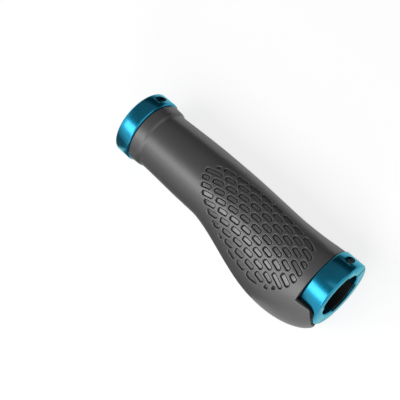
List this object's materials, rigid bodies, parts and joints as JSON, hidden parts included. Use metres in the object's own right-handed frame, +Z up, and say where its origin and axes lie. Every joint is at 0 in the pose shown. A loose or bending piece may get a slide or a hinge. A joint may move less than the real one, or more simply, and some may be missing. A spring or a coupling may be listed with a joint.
{
  "type": "handlebar grip",
  "caption": "Ergonomic handlebar grip with a flared palm wing, a grooved dark rubber sleeve and blue split clamp rings at its ends.",
  "frame": {"origin": "middle of the grip's box along X and Y, at floor level under the two clamps", "axes": "+X along the bar toward the grip's outer end, -Y toward the palm wing, +Z up with the grooved side on top"},
  "size_m": [0.13, 0.0444, 0.034],
  "materials": {
    "grey_rubber": "matt, finely grained, dark grey",
    "black_plastic": "matt black hard plastic",
    "blue_aluminium": "satin anodised, cyan blue",
    "screw_steel": "dark, plain"
  },
  "bodies": {
    "root": {"rubber_sleeve": "grey_rubber", "core_sleeve": "black_plastic", "outer_clamp": "blue_aluminium", "inner_clamp": "blue_aluminium", "outer_clamp_screw": "screw_steel", "inner_clamp_screw": "screw_steel"}
  },
  "joints": []
}
